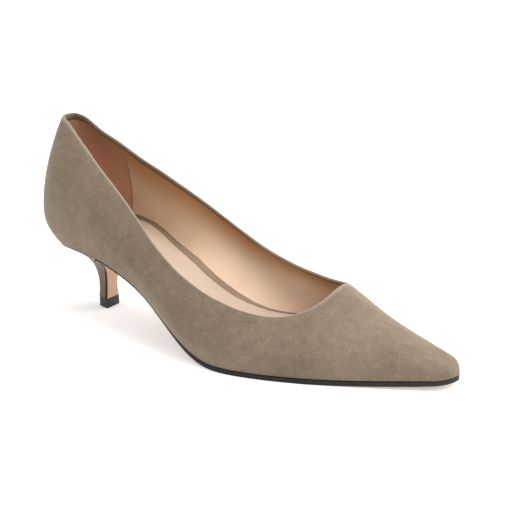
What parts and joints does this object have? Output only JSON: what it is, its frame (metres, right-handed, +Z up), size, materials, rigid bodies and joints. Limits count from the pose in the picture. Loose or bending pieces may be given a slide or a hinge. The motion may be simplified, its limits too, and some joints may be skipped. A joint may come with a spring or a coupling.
{
  "type": "pointed low-heeled pump",
  "caption": "Pointed slip-on pump with a low slender heel, a low-cut collar and a thin sole; a hollow shoe for the right foot.",
  "frame": {"origin": "middle of the footprint box, on the floor", "axes": "+X to the toe, +Y to the inner side of the foot, +Z up"},
  "size_m": [0.2416, 0.082, 0.1019],
  "materials": {
    "suede": "soft napped suede, taupe",
    "lining_leather": "smooth satin leather, nude",
    "sole_black": "thin sole with a painted black edge",
    "heel_tip": "matte black hard rubber"
  },
  "bodies": {
    "root": {"upper": "suede", "heel": "suede", "insole": "lining_leather", "heel_breast_cover": "lining_leather", "outsole": "sole_black", "top_piece": "heel_tip"}
  },
  "joints": []
}
